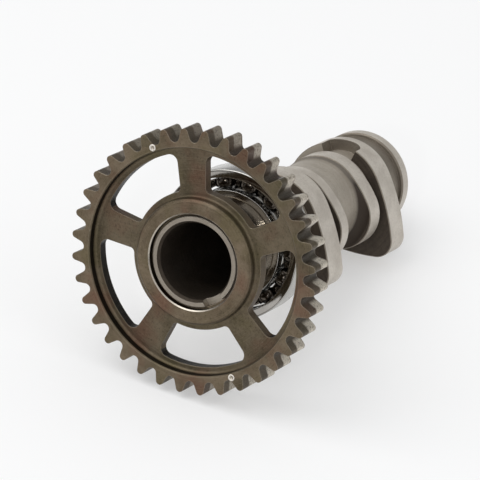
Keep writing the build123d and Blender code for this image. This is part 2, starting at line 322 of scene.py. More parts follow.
# %% Worn edges, and the shader that all metals share
def worn_edges(tree, width_mm):
    """How near an edge is, from 0 on a flat to 1 on the edge itself, and the rounded normal."""
    soft = put(tree, "ShaderNodeBevel", {"Radius": width_mm / 1000}, samples=6).outputs["Normal"]
    sharp = put(tree, "ShaderNodeNewGeometry").outputs["Normal"]
    same = put(tree, "ShaderNodeVectorMath", {0: soft, 1: sharp}, operation="DOT_PRODUCT")
    return spread(tree, same.outputs["Value"], 0.995, 0.86), soft


def metal_shader(tree, skin, metallic, roughness, height, depth_mm, strength=0.5, soft=None):
    """Ends a finish: its coloured skin, its gloss, and a fine relief of a depth in millimetres."""
    relief = {"Strength": strength, "Distance": depth_mm / 1000, "Height": height}
    if soft is not None:
        relief["Normal"] = soft
    surface = put(tree, "ShaderNodeBsdfPrincipled", {
        "Base Color": skin,
        "Metallic": metallic,
        "Roughness": roughness,
        "Normal": put(tree, "ShaderNodeBump", relief).outputs[0],
    })
    put(tree, "ShaderNodeOutputMaterial", {"Surface": surface.outputs[0]})


# %% [markdown]
# ## Hardened sprocket steel
#
# A chain sprocket is cut from steel and then case-hardened. The furnace leaves a thin brown skin
# with patches of olive and dull red. So the colour is a large soft noise between two browns, with
# a second noise for the patches. The tool's rings and fine specks lie over them.

# %% The brown skin
DARK_BROWN, PALE_BROWN = "58503f", "7e7463"
DULL_RED, OLIVE = "6f5143", "5f5b3c"
RING_TINT, SOOT, ASH = "8a7d68", "352d25", "95897a"


def brown_skin(tree, in_shaft, clouds, specks, rings):
    """The colour that the furnace and the tools left, before any wear."""
    blush = noise(tree, in_shaft, 0.07, 3.0, seed=3.0)
    skin = blend_colours(tree, spread(tree, clouds, 0.36, 0.62), DARK_BROWN, PALE_BROWN)
    skin = blend_colours(tree, spread(tree, blush, 0.5, 0.62, 0.0, 0.8), skin, DULL_RED)
    skin = blend_colours(tree, spread(tree, blush, 0.46, 0.36, 0.0, 0.5), skin, OLIVE)
    skin = blend_colours(tree, spread(tree, rings, 0.35, 0.7, 0.0, 0.3), skin, RING_TINT)
    skin = blend_colours(tree, spread(tree, specks, 0.53, 0.7, 0.0, 0.6), skin, SOOT)
    return blend_colours(tree, spread(tree, specks, 0.42, 0.3, 0.0, 0.45), skin, ASH)


print("skin colours:", DARK_BROWN, PALE_BROWN, DULL_RED, OLIVE)

# %% [markdown]
# The chain rubs the rear half of each tooth's flank pale and never reaches the floor of the gap.
# The pale band is partly that wear and partly a painted highlight, stronger towards one side of
# the sprocket. The floor of each gap is painted dark as painted shade. The pale band is a product
# of soft ranges, two along the shaft, one outwards and one across the sprocket, and of a noise
# that breaks it up.

# %% Wear left by the chain, with painted shade and painted highlight
PALE_BAND_STARTS, PALE_BAND_ENDS = (3.2, 3.9), (8.4, 7.4)
PALE_BAND_FOOT, PAINTED_SHADE_TOP = (33.3, 34.3), (33.8, 32.9)
TOWARDS_HIGHLIT_SIDE = (-5.0, 25.0)
GAP_PAINTED_SHADE, RUBBED_AND_HIGHLIT, WORN_EDGE = "28221b", "d3cbbc", "b3a997"


def chain_wear_and_painted_light(tree, in_shaft, skin, clouds, specks):
    """Paints shade into the gap floors, and a pale band of wear and painted highlight on the flanks.
    """
    spot = places(tree, in_shaft)
    wander = maths(tree, "ADD", spot["Z"], spread(tree, clouds, 0.3, 0.7, -0.8, 0.8))
    # The pale band: partly chain wear, partly painted highlight.
    rub = maths(tree, "MULTIPLY", spread(tree, wander, *PALE_BAND_STARTS), spread(tree, wander, *PALE_BAND_ENDS))
    rub = maths(tree, "MULTIPLY", rub, spread(tree, spot["radius"], *PALE_BAND_FOOT))
    rub = maths(tree, "MULTIPLY", rub, spread(tree, specks, 0.62, 0.5, 0.25, 0.9))
    # This range makes the pale band stronger towards one side of the sprocket: painted highlight.
    rub = maths(tree, "MULTIPLY", rub, spread(tree, spot["X"], *TOWARDS_HIGHLIT_SIDE, 0.3, 1.0))
    # Painted shade darkens the floor of each gap.
    skin = blend_colours(tree, spread(tree, spot["radius"], *PAINTED_SHADE_TOP, 0.0, 0.6), skin, GAP_PAINTED_SHADE)
    return blend_colours(tree, rub, skin, RUBBED_AND_HIGHLIT)


print("rubbed band, stations in mm:", PALE_BAND_STARTS[0], "to", PALE_BAND_ENDS[0])


# %% Heat-tinted steel with pale worn edges
def hardened_steel(name, tone, edge_wear, chain_worn_and_lit=False):
    """The sprocket's steel; tone darkens its skin, edge_wear is how pale its edges get."""
    material, tree, in_shaft = new_finish(name)
    clouds = noise(tree, in_shaft, 0.11, 5.0, 0.65)
    specks = noise(tree, in_shaft, 1.6, 4.0, 0.8)
    rings = tool_lines(tree, in_shaft, 2.6)
    skin = brown_skin(tree, in_shaft, clouds, specks, rings)
    skin = blend_colours(tree, 1.0, skin, tone, mode="MULTIPLY")
    # Flanks get painted shade in the gaps and a pale band of wear and painted highlight.
    if chain_worn_and_lit:
        skin = chain_wear_and_painted_light(tree, in_shaft, skin, clouds, specks)
    edge, soft = worn_edges(tree, 0.4)
    wear = maths(tree, "MULTIPLY", edge, spread(tree, specks, 0.35, 0.6, 0.1, edge_wear))
    skin = blend_colours(tree, wear, skin, WORN_EDGE)
    roughness = spread(tree, clouds, 0.3, 0.7, 0.38, 0.54)
    metal_shader(tree, skin, 0.75, roughness, maths(tree, "ADD", rings, specks), 0.1, soft=soft)
    return material


sprocket_steel = hardened_steel("hardened sprocket steel", "e4dfd8", 0.55)
hub_steel = hardened_steel("faced hub steel", "fbf3ee", 0.6)
# The window walls and the rim's inner walls are toned darker: painted shade.
wall_steel = hardened_steel("window wall steel with painted shade", "b9aa92", 0.5)
rim_wall_steel = hardened_steel("rim wall steel with painted shade", "57534f", 0.4)
# The tooth flanks carry painted shade in the gaps and a pale band of wear and painted highlight.
flank_steel = hardened_steel("chain-worn tooth steel", "c2bab0", 0.9, chain_worn_and_lit=True)
sprocket_finishes = [sprocket_steel, hub_steel, wall_steel, flank_steel, rim_wall_steel]
print("finishes:", [finish.name for finish in sprocket_finishes])

# %% [markdown]
# ## Cut and cast iron
#
# The shaft is one casting, but the eye sees several metals. Lobe faces and the journal are ground:
# pale, even and finely lined round the shaft. The lobes' sides keep the dark brown skin of the
# casting. The tube, the barrel and the necks are turned: duller, with rings. The bore is dark and
# the pocket is milled. One function makes all of them, because they differ only in colours, gloss
# and how coarse the lines are. It can also fade into another colour, where a cut runs out, and on
# the rear lobe's front face it fades paler towards one side as painted light.

# %% Metal with a tool's lines
def lined_metal(name, pale, dark, edge_colour, rough, metallic,
                lines=2.2, depth_mm=0.05, grain=1.6, fade=None):
    """Iron or steel as a tool leaves it; lines and grain are counts in a millimetre.

    A fade is (radius or X, start, end, colour), and blends into that colour along the way.
    """
    material, tree, in_shaft = new_finish(name)
    stripes = tool_lines(tree, in_shaft, lines)
    grains = noise(tree, in_shaft, grain, 4.0, 0.7)
    stains = noise(tree, in_shaft, 0.16, 3.0)
    skin = blend_colours(tree, spread(tree, stains, 0.36, 0.66, 0.2, 0.75), pale, dark)
    skin = blend_colours(tree, spread(tree, stripes, 0.42, 0.68, 0.0, 0.5), skin, dark)
    skin = blend_colours(tree, spread(tree, grains, 0.5, 0.68, 0.0, 0.6), skin, dark)
    if fade:
        way, start, end, colour = fade
        spot = places(tree, in_shaft)
        skin = blend_colours(tree, spread(tree, spot[way], start, end), skin, colour)
    edge, soft = worn_edges(tree, 0.2)
    wear = maths(tree, "MULTIPLY", edge, spread(tree, grains, 0.35, 0.6, 0.1, 0.7))
    skin = blend_colours(tree, wear, skin, edge_colour)
    roughness = spread(tree, grains, 0.3, 0.7, rough - 0.05, rough + 0.07)
    height = maths(tree, "ADD", stripes, grains)
    metal_shader(tree, skin, metallic, roughness, height, depth_mm, soft=soft)
    return material


# %% The shaft's finishes
ground_iron = lined_metal("ground cam iron", "ddd6cb", "aea599", "d0c8bd",
                          rough=0.42, metallic=0.45, lines=4.0, grain=2.0)
turned_iron = lined_metal("turned shaft iron", "bab1a4", "9a9184", "bdb4a7",
                          rough=0.48, metallic=0.5)
faced_iron = lined_metal("faced tube end", "a89f92", "8d8478", "cfc7ba",
                         rough=0.42, metallic=0.8, lines=3.0, grain=2.0)
bore_iron = lined_metal("bored iron", "5d5348", "3f372f", "8b8175",
                        rough=0.5, metallic=0.7, lines=1.4, depth_mm=0.1, grain=1.2)
milled_iron = lined_metal("milled pocket iron", "968d80", "776e63", "a59c8f",
                          rough=0.48, metallic=0.7)
blend_iron = lined_metal("barrel end going over to cast iron", "b3aa9d", "948b7e", "8b8175",
                         rough=0.5, metallic=0.6, fade=("radius", 12.33, 12.95, "3a3129"))
as_cast = dict(pale="544a3f", dark="3a3129", edge_colour="7d7468",
               rough=0.6, metallic=0.35, lines=0.8, depth_mm=0.12, grain=1.2)
cast_iron = lined_metal("as-cast dark iron", **as_cast)
# The rear lobe's front face fades to a paler colour towards one side: painted light.
rear_cast_iron = lined_metal("rear lobe's cast side, painted paler towards one side", **as_cast, fade=("X", 0.0, -3.0, "a2998c"))
shaft_finishes = [turned_iron, ground_iron, cast_iron, bore_iron, faced_iron, blend_iron,
                  milled_iron, rear_cast_iron]
TURNED, GROUND, CAST, BORED, FACED, BLEND, MILLED, REAR_CAST = range(8)
print("finishes:", [finish.name for finish in shaft_finishes])

# %% [markdown]
# ## The shaft
#
# The measured model already holds the shaft's exact shape, lobes, pocket and notch. Its mesh is
# loose triangles, so a copy is merged before it is shaded smooth. Each face then takes one of
# the finishes by where it lies: its station, its radius and which way it faces. The stations and
# radii below are the shaft's own sizes in millimetres, and the small numbers added to them are
# margins, so that a face on the border falls on the right side.

# %% Which finish each face of the shaft has
LOBES = ((46.2, 55.2), (59.0, 63.7), (77.8, 84.2), (87.0, 95.6))
LAST_LOBE_FRONT, LAST_LOBE_REAR = LOBES[3]
LOBE_FOOT = 11.6
BARREL_END = 74.0
POCKET_END, POCKET_FLOOR, POCKET_TOP = 92.3, 11.5, 14.6
JOURNAL_FRONT, SHAFT_END, JOURNAL_FOOT = 102.9, 106.9, 13.4
BORE_RADIUS = 10.63
RELIEF_FLOOR = 2.4


def shaft_rule(centre, radius, facing_z, outwards):
    """Which finish a face of the shaft has."""
    if outwards < -0.5 or radius < BORE_RADIUS + 0.05 and centre.z < SHAFT_END - 1.0:
        return BORED
    above_floor = centre.y < 0 and POCKET_FLOOR - 0.1 < radius < POCKET_TOP
    along_pocket = LAST_LOBE_FRONT + 0.05 < centre.z < POCKET_END + 0.05
    if above_floor and along_pocket and outwards < 0.999:
        return MILLED
    for front, rear in LOBES:
        if front - 0.01 <= centre.z <= rear + 0.01 and radius > LOBE_FOOT:
            if outwards > 0.3 and abs(facing_z) < 0.9:
                return GROUND if abs(facing_z) < 0.4 else MILLED
            # The rear lobe's front face takes the finish with painted light on one side.
            in_front = front == LAST_LOBE_FRONT and centre.z < LAST_LOBE_FRONT + 0.1
            return REAR_CAST if in_front else CAST
    if BARREL_END < centre.z < LOBES[2][0]:
        return BLEND
    if centre.z > LAST_LOBE_REAR:
        on_journal = centre.z > JOURNAL_FRONT and radius > JOURNAL_FOOT and outwards > 0.9
        return GROUND if on_journal else MILLED
    return FACED if centre.z < RELIEF_FLOOR else TURNED


print("lobes, stations in mm:", LOBES)


# %% A merged copy of the shaft with its finishes by place
def merged_copy(node, name):
    """A copy of a measured piece with its loose triangles merged, in the bench's frame."""
    bm = bmesh.new()
    bm.from_mesh(frame["nodes"][node].data)
    bmesh.ops.remove_doubles(bm, verts=bm.verts, dist=0.000001)
    piece = piece_from(bm, name)
    loose = piece.data.attributes.get("custom_normal")
    if loose:
        piece.data.attributes.remove(loose)
    return piece


shaft = merged_copy("camshaft", "hollow_camshaft")
shaft.data.shade_smooth()
shaft.data.set_sharp_from_angle(angle=radians(24))
finish_by_place(shaft, shaft_finishes, shaft_rule)
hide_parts("camshaft")
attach(shaft, "shaft")
print("shaft faces:", len(shaft.data.polygons))

# %% [markdown]
# ## Repeating a shape round the shaft
#
# Teeth, windows, balls, rivets and the cage's waves all come round the shaft at even steps. A
# geometry nodes tree does that once for all of them: it makes one point for each copy, turns
# each copy by its share of a full turn, and merges where neighbours meet.

# %% A node tree that repeats a shape round the shaft
def new_tree(name, inputs, output):
    """A geometry nodes tree with named inputs and one output of geometry."""
    tree = bpy.data.node_groups.new(name, "GeometryNodeTree")
    for label, kind in inputs.items():
        tree.interface.new_socket(label, in_out="INPUT", socket_type="NodeSocket" + kind)
    tree.interface.new_socket(output, in_out="OUTPUT", socket_type="NodeSocketGeometry")
    return tree, put(tree, "NodeGroupInput").outputs


def ring_of_copies():
    """The tree that turns copies of a shape about Z, at even steps."""
    tree, given = new_tree("ring of copies", {
        "Shape": "Geometry", "Copies": "Int", "Merge distance": "Float", "Finish": "Material"}, "Ring")
    points = put(tree, "GeometryNodePoints", {"Count": given["Copies"]}).outputs[0]
    step = maths(tree, "DIVIDE", 2 * pi, given["Copies"])
    index = put(tree, "GeometryNodeInputIndex").outputs[0]
    turn = maths(tree, "MULTIPLY", index, step)
    angles = put(tree, "ShaderNodeCombineXYZ", {"Z": turn}).outputs[0]
    rotation = put(tree, "FunctionNodeEulerToRotation", {0: angles}).outputs[0]
    copies = put(tree, "GeometryNodeInstanceOnPoints",
                 {"Points": points, "Instance": given["Shape"], "Rotation": rotation})
    real = put(tree, "GeometryNodeRealizeInstances", {"Geometry": copies.outputs[0]})
    merged = put(tree, "GeometryNodeMergeByDistance",
                 {"Geometry": real.outputs[0], "Distance": given["Merge distance"]})
    finished = put(tree, "GeometryNodeSetMaterial",
                   {"Geometry": merged.outputs[0], "Material": given["Finish"]})
    put(tree, "NodeGroupOutput", {"Ring": finished.outputs[0]})
    return tree


ring_tree = ring_of_copies()
print("tree:", ring_tree.name)

# %% [markdown]
# Teeth and windows are outlines first. A second tree uses the first one to close one step of an
# outline into a full ring, fills it, and raises it to a plate of the right thickness.

# %% A node tree that fills a ring of outlines to a plate
def plate_of_outlines():
    """The tree that makes a plate between two stations from one step of its outline."""
    tree, given = new_tree("plate of outlines", {
        "Outline step": "Geometry", "Copies": "Int", "Front station": "Float",
        "Thickness": "Float", "Finish": "Material"}, "Plate")
    ring = put(tree, "GeometryNodeGroup", node_tree=ring_tree)
    tree.links.new(given["Outline step"], ring.inputs["Shape"])
    tree.links.new(given["Copies"], ring.inputs["Copies"])
    ring.inputs["Merge distance"].default_value = 0.005
    curve = put(tree, "GeometryNodeMeshToCurve", {"Mesh": ring.outputs[0]}).outputs[0]
    flat = put(tree, "GeometryNodeFillCurve", {"Curve": curve}, mode="NGONS").outputs[0]
    rise = put(tree, "ShaderNodeCombineXYZ", {"Z": given["Thickness"]}).outputs[0]
    raised = put(tree, "GeometryNodeExtrudeMesh",
                 {"Mesh": flat, "Offset": rise, "Offset Scale": 1.0, "Individual": False})
    back = put(tree, "GeometryNodeFlipFaces", {"Mesh": flat}).outputs[0]
    both = put(tree, "GeometryNodeJoinGeometry", {"Geometry": raised.outputs[0]})
    tree.links.new(back, both.inputs["Geometry"])
    closed = put(tree, "GeometryNodeMergeByDistance",
                 {"Geometry": both.outputs[0], "Distance": 0.0005})
    start = put(tree, "ShaderNodeCombineXYZ", {"Z": given["Front station"]}).outputs[0]
    moved = put(tree, "GeometryNodeTransform",
                {"Geometry": closed.outputs[0], "Translation": start})
    real = put(tree, "GeometryNodeRealizeInstances", {"Geometry": moved.outputs[0]})
    finished = put(tree, "GeometryNodeSetMaterial",
                   {"Geometry": real.outputs[0], "Material": given["Finish"]})
    put(tree, "NodeGroupOutput", {"Plate": finished.outputs[0]})
    return tree


plate_tree = plate_of_outlines()
print("tree:", plate_tree.name)


# %% Running the two trees on a piece
def run_tree(piece, tree, values):
    """Runs a node tree on a piece with its named inputs set, and keeps the plain mesh."""
    modifier = piece.modifiers.new(tree.name, "NODES")
    modifier.node_group = tree
    for item in tree.interface.items_tree:
        if item.in_out == "INPUT" and item.name in values:
            modifier[item.identifier] = values[item.name]
    make_plain(piece)


def repeat_round(piece, copies, finish, merge_mm=0.0001):
    """Repeats a piece round the shaft, and merges points that are nearer than merge_mm."""
    run_tree(piece, ring_tree, {"Copies": copies, "Merge distance": merge_mm, "Finish": finish})


def raise_plate(piece, copies, front, thickness, finish):
    """Makes a plate of a piece that holds one step of its outline."""
    run_tree(piece, plate_tree, {"Copies": copies, "Front station": front,
                                 "Thickness": thickness, "Finish": finish})
    print(piece.name, len(piece.data.polygons), "faces")


def outline_piece(name, *chains, closed=False):
    """A mesh of edges only, from chains of flat points."""
    mesh = bpy.data.meshes.new(name)
    points, edges = [], []
    for chain in chains:
        first = len(points)
        points += [(x, y, 0.0) for x, y in chain]
        edges += [(first + i, first + i + 1) for i in range(len(chain) - 1)]
        if closed:
            edges.append((len(points) - 1, first))
    mesh.from_pydata(points, edges, [])
    return new_piece(name, mesh)


# %% [markdown]
# ## The sprocket's teeth
#
# The chain's links pull on straight flanks, so a tooth is a small rounded tip, a straight flank
# and a rounded gap. One step of that outline goes from the middle of one tooth to the middle of
# the next, with the same step of the rim's inner circle below it. The tree makes 36 of them.

# %% The toothed rim
TEETH = 36
CHAIN_PITCH = 6.35
SPROCKET_WIDTH = 7.95
TIP_RADIUS = CHAIN_PITCH / (2 * sin(pi / TEETH))
TOOTH_DEPTH, RIM_WALL_DEPTH, RIM_EDGE = 3.63, 1.7, 0.35
ROOT_RADIUS = TIP_RADIUS - TOOTH_DEPTH
TIP_ARC, GAP_ARC = 1.05, 1.4
RECESS_RADIUS = ROOT_RADIUS - RIM_WALL_DEPTH
RIM_INNER = RECESS_RADIUS + RIM_EDGE
PITCH_ANGLE = 360 // TEETH


def tooth_step(tip_steps=6, gap_steps=5):
    """The outline from the middle of a tooth over a gap to the next tooth, a gap at the bottom."""
    tip = Vector((TIP_RADIUS - TIP_ARC, 0.0))
    gap = polar(ROOT_RADIUS + GAP_ARC, PITCH_ANGLE / 2).to_2d()
    between = gap - tip
    lean = degrees(atan2(between.y, between.x) - acos((TIP_ARC + GAP_ARC) / between.length))
    flank = polar(1.0, lean).to_2d()
    half = arc_points(tip, (TIP_RADIUS, 0.0), tip + flank * TIP_ARC, tip_steps)
    gap_floor = polar(ROOT_RADIUS, PITCH_ANGLE / 2).to_2d()
    half += arc_points(gap, gap - flank * GAP_ARC, gap_floor, gap_steps)
    whole = [polar(hypot(x, y), degrees(atan2(y, x))) for x, y in half]
    whole += [polar(p.to_2d().length, PITCH_ANGLE - degrees(atan2(p.y, p.x)))
              for p in reversed(whole[:-1])]
    turn = Matrix.Rotation(radians(90 - PITCH_ANGLE / 2), 3, "Z")
    return [tuple((turn @ p).to_2d()) for p in whole]


inner_step = [tuple(polar(RIM_INNER, 90 - PITCH_ANGLE / 2 + degree).to_2d())
              for degree in range(PITCH_ANGLE + 1)]
toothed_rim = outline_piece("toothed_rim", tooth_step(), inner_step)
raise_plate(toothed_rim, TEETH, 0.0, SPROCKET_WIDTH, sprocket_steel)
print("tip radius:", round(TIP_RADIUS, 2), "mm")

# %% [markdown]
# ## The sprocket's windows
#
# Five windows lighten the web and leave five spokes. The real ones are punched through a turned
# blank, and the same is done here: the blank is turned from its half section, and a ring of five
# window-shaped plugs is taken out of it.

# %% The window outline
SPOKES = 5
SPOKE_ANGLE = 39.3
WINDOW_INNER, WINDOW_RIM_WALL = 19.0, 1.75
WINDOW_OUTER = RECESS_RADIUS - WINDOW_RIM_WALL
SPOKE_AT_HUB, SPOKE_AT_RIM = 7.5, 8.7
HUB_CORNER, RIM_CORNER = 1.4, 2.2
PLUG_FRONT, PLUG_LENGTH = 1.0, 9.0


def window_outline(arc_steps=24, hub_corner_steps=8, rim_corner_steps=10):
    """The outline of one window whose middle is on the X axis."""
    half_step = radians(180 / SPOKES)
    at_hub = half_step - atan2(SPOKE_AT_HUB / 2, sqrt(WINDOW_INNER**2 - SPOKE_AT_HUB**2 / 4))
    at_rim = half_step - atan2(SPOKE_AT_RIM / 2, sqrt(WINDOW_OUTER**2 - SPOKE_AT_RIM**2 / 4))
    low = Vector((WINDOW_INNER * cos(at_hub), WINDOW_INNER * sin(at_hub)))
    high = Vector((WINDOW_OUTER * cos(at_rim), WINDOW_OUTER * sin(at_rim)))
    edge = (high - low).normalized()
    inwards = Vector((edge.y, -edge.x))

    def corner(radius, from_centre):
        """The centre of an arc that touches the spoke's edge and the inner or outer arc."""
        start = low + inwards * radius
        across = start.dot(edge)
        return start + edge * (-across + sqrt(across**2 - start.length_squared + from_centre**2))

    near = corner(HUB_CORNER, WINDOW_INNER + HUB_CORNER)
    far = corner(RIM_CORNER, WINDOW_OUTER - RIM_CORNER)
    near_touch = near.normalized() * WINDOW_INNER
    far_touch = far.normalized() * WINDOW_OUTER
    half = arc_points((0, 0), (WINDOW_INNER, 0.0), near_touch, arc_steps)[:-1]
    half += arc_points(near, near_touch, near - inwards * HUB_CORNER, hub_corner_steps)
    half += arc_points(far, far - inwards * RIM_CORNER, far_touch, rim_corner_steps)[:-1]
    half += arc_points((0, 0), far_touch, (WINDOW_OUTER, 0.0), arc_steps)
    return half + [(x, -y) for x, y in reversed(half[1:-1])]


middle_of_window = Matrix.Rotation(radians(SPOKE_ANGLE + 180 / SPOKES), 2)
first_window = [tuple(middle_of_window @ Vector(point)) for point in window_outline()]
window_plugs = outline_piece("window_plugs", first_window, closed=True)
raise_plate(window_plugs, SPOKES, PLUG_FRONT, PLUG_LENGTH, sprocket_steel)


# %% The turned blank with its windows punched out
def cut_out(piece, tool):
    """Cuts one closed mesh out of another and throws the tool away."""
    cut = piece.modifiers.new("cut", "BOOLEAN")
    cut.operation = "DIFFERENCE"
    cut.object = tool
    cut.solver = "EXACT"
    make_plain(piece)
    bpy.data.objects.remove(tool)


# The section goes round from the relief at the tube's end, over the front, to the boss behind.
SEAT_RADIUS = 12.5
WEB_FRONT, WEB_REAR = 3.0, 6.0
HUB_FRONT, HUB_REAR, HUB_RADIUS, HUB_CHAMFER = 0.4, 7.55, 17.25, 0.7
BORE_RELIEF, BORE_CHAMFER = 13.15, 0.3
BOSS_RADIUS, BOSS_END, BOSS_CHAMFER = 13.6, 21.0, 0.4
sprocket = turned_piece("cam_sprocket_with_teeth", rounded_section([
    (SEAT_RADIUS, RELIEF_FLOOR, 0), (BORE_RELIEF, RELIEF_FLOOR, 0.1),
    (BORE_RELIEF, HUB_FRONT + BORE_CHAMFER, 0), (BORE_RELIEF + BORE_CHAMFER, HUB_FRONT, 0),
    (HUB_RADIUS - HUB_CHAMFER, HUB_FRONT, 0.3), (HUB_RADIUS, HUB_FRONT + HUB_CHAMFER, 0.4),
    (HUB_RADIUS, WEB_FRONT, 0.8), (RECESS_RADIUS, WEB_FRONT, 1.0),
    (RECESS_RADIUS, RIM_EDGE, 0.1), (RIM_INNER, 0.0, 0),
    (RIM_INNER, SPROCKET_WIDTH, 0), (RECESS_RADIUS, SPROCKET_WIDTH - RIM_EDGE, 0.1),
    (RECESS_RADIUS, WEB_REAR, 1.0), (HUB_RADIUS, WEB_REAR, 0.5),
    (HUB_RADIUS, HUB_REAR - HUB_CHAMFER, 0), (HUB_RADIUS - HUB_CHAMFER, HUB_REAR, 0.2),
    (BOSS_RADIUS, HUB_REAR, 0.8), (BOSS_RADIUS, BOSS_END - BOSS_CHAMFER, 0.1),
    (BOSS_RADIUS - BOSS_CHAMFER, BOSS_END, 0), (SEAT_RADIUS, BOSS_END, 0)]))
cut_out(sprocket, window_plugs)
print("blank faces:", len(sprocket.data.polygons))

# %% [markdown]
# ## Timing dots
#
# Two small marks on the rim let a mechanic set the shaft to the engine. Each is a punched cone
# with a bright burr thrown up round it. They are opposite each other, so the ring tree makes them
# as two copies. The cones are cut out of the rim, and the burrs lie on it, which the measured
# model leaves out as too small.

# %% A finish for small bright pieces
def bare_metal(name, colour, rough, metallic=1.0, freckles=0.15, dark="6b6660"):
    """A clean metal with faint freckles, for small bright pieces."""
    material, tree, in_shaft = new_finish(name)
    grains = noise(tree, in_shaft, 2.5, 3.0)
    skin = blend_colours(tree, spread(tree, grains, 0.5, 0.75, 0.0, freckles), colour, dark)
    roughness = spread(tree, grains, 0.3, 0.7, rough * 0.85, rough * 1.2)
    metal_shader(tree, skin, metallic, roughness, grains, 0.03, strength=0.15)
    return material


fresh_metal = bare_metal("freshly punched metal", "efe9e0", 0.4, 0.5, freckles=1.0, dark="3d352c")
print("finish:", fresh_metal.name)

# %% Two punched timing dots
DOT_CIRCLE, DOT_ANGLE = 32.35, 57.5
DOT_RADIUS, DOT_DEPTH, DOT_FLOOR = 0.65, 0.42, 0.15
NEAR_AXIS = 0.01
to_first_dot = Matrix.Translation(polar(DOT_CIRCLE, DOT_ANGLE))
pits = turned_piece("punch", [
    (NEAR_AXIS, -0.2), (DOT_RADIUS, -0.2), (DOT_RADIUS, 0.0), (DOT_FLOOR, DOT_DEPTH),
    (NEAR_AXIS, DOT_DEPTH)], steps=24)
pits.data.transform(to_first_dot)
repeat_round(pits, 2, fresh_metal, merge_mm=0.02)
cut_out(toothed_rim, pits)
burr = turned_piece("timing_dot_burrs", [
    (DOT_RADIUS - 0.12, 0.05), (DOT_RADIUS - 0.02, -0.09), (DOT_RADIUS + 0.12, -0.11),
    (DOT_RADIUS + 0.32, 0.02)], steps=24)
burr.data.transform(to_first_dot)
repeat_round(burr, 2, fresh_metal)
lay_down(burr, fresh_metal)
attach(burr, "shaft")

# %% [markdown]
# The rim and the blank are one piece of steel, so their meshes are joined. Its faces then take
# their finishes by place: the front in the brown skin, walls of the windows and the rim darker as
# painted shade, the tooth flanks with a pale band that is partly chain wear and partly painted
# highlight, the bore's chamfer with a painted highlight, and the boss behind it clean and glossy.

# %% The finished sprocket
boss_steel = bare_metal("turned boss steel", "a59b8d", 0.22, freckles=0.4, dark="5a5247")
# Bright steel serves the fresh punched dots and a painted highlight on the bore's chamfer.
bright_steel = bare_metal("punched metal, and a chamfer with painted highlight", "bdb5a9", 0.3)
FRONT, HUB, WALL, FLANK, RIM_WALL, BOSS, BRIGHT = range(7)
dots = [polar(DOT_CIRCLE, DOT_ANGLE + turn) for turn in (0, 180)]


def sprocket_rule(centre, radius, facing_z, outwards):
    """Which finish a face of the sprocket has."""
    if min((centre - dot).length for dot in dots) < DOT_RADIUS and centre.z > 0.01:
        return BRIGHT
    # The bore's chamfer is painted bright: a painted highlight.
    if BORE_RELIEF < radius < BORE_RELIEF + BORE_CHAMFER and centre.z < HUB_FRONT + BORE_CHAMFER:
        return BRIGHT
    if radius < BOSS_RADIUS + 0.9 and centre.z > HUB_REAR - 0.05:
        return BOSS
    if radius > ROOT_RADIUS - 0.1 and abs(facing_z) < 0.5:
        return FLANK
    in_window = WINDOW_INNER - 0.1 < radius < WINDOW_OUTER + 0.1
    # Walls inside the windows and the rim take the darker finishes, as painted shade.
    if abs(facing_z) < 0.2 and (in_window or outwards < -0.9):
        return RIM_WALL if outwards < -0.5 else WALL
    return HUB if radius < HUB_RADIUS - 0.3 and facing_z < -0.5 else FRONT


join_into(sprocket, toothed_rim)
lay_down(sprocket, sprocket_steel)
finish_by_place(sprocket, (*sprocket_finishes, boss_steel, bright_steel), sprocket_rule)
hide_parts("cam_sprocket")
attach(sprocket, "shaft")

# %% [markdown]
# ## The bearing's rings
#
# Bearing steel is ground on every face and looks almost black where it mirrors a dark room. The
# rings are turned from their real sections: rounded outer corners, low shoulders and a round
# groove that the balls run in. Their side faces are a mirror that shows the sprocket's dark back,
# and their colour is a shade darker than the ring's other faces: painted shade.

# %% The section of a ring with its groove
RING_FRONT, RING_REAR = BOSS_END, 30.0
PITCH_RADIUS = 17.0
BALL_RADIUS = 2.381
GROOVE = BALL_RADIUS + 0.08
OUTER_WALL, OUTER_SHOULDER, INNER_SHOULDER = 21.0, 18.7, 15.3


def grooved_section(wall, shoulder, wall_round=0.5, shoulder_round=0.15, groove_steps=24):
    """A ring's half section: its plain wall, rounded corners, two shoulders and the groove."""
    reach = sqrt(GROOVE**2 - (PITCH_RADIUS - shoulder) ** 2)
    groove = arc_points((PITCH_RADIUS, BEARING_MIDDLE), (shoulder, BEARING_MIDDLE - reach),
                        (shoulder, BEARING_MIDDLE + reach), groove_steps)
    corners = rounded_section([
        (wall, RING_REAR, wall_round), (wall, RING_FRONT, wall_round),
        (shoulder, RING_FRONT, shoulder_round), (shoulder, RING_REAR, shoulder_round)])
    # The groove goes in before the points of the last corner.
    last_corner = CORNER_STEPS + 1
    return corners[:-last_corner] + groove + corners[-last_corner:]


print("ring, stations in mm:", RING_FRONT, "to", RING_REAR)

# %% Two ground rings
bearing_edge = "d6d4d0"
ring_steel = lined_metal("ground bearing steel", "c6c4c0", "a5a39e", bearing_edge,
                         rough=0.2, metallic=1.0, lines=5.0, depth_mm=0.02, grain=2.0)
# The side faces are a darker copy of the ring steel: painted shade.
ring_face_steel = lined_metal("ring faces ground to a mirror, painted a shade darker", "b6b3ae", "98948e", bearing_edge,
                              rough=0.1, metallic=1.0, lines=5.0, depth_mm=0.01, grain=2.0)


def ring_rule(centre, radius, facing_z, outwards):
    """The second finish for the side faces, the first for the rest."""
    return 1 if abs(facing_z) > 0.8 else 0


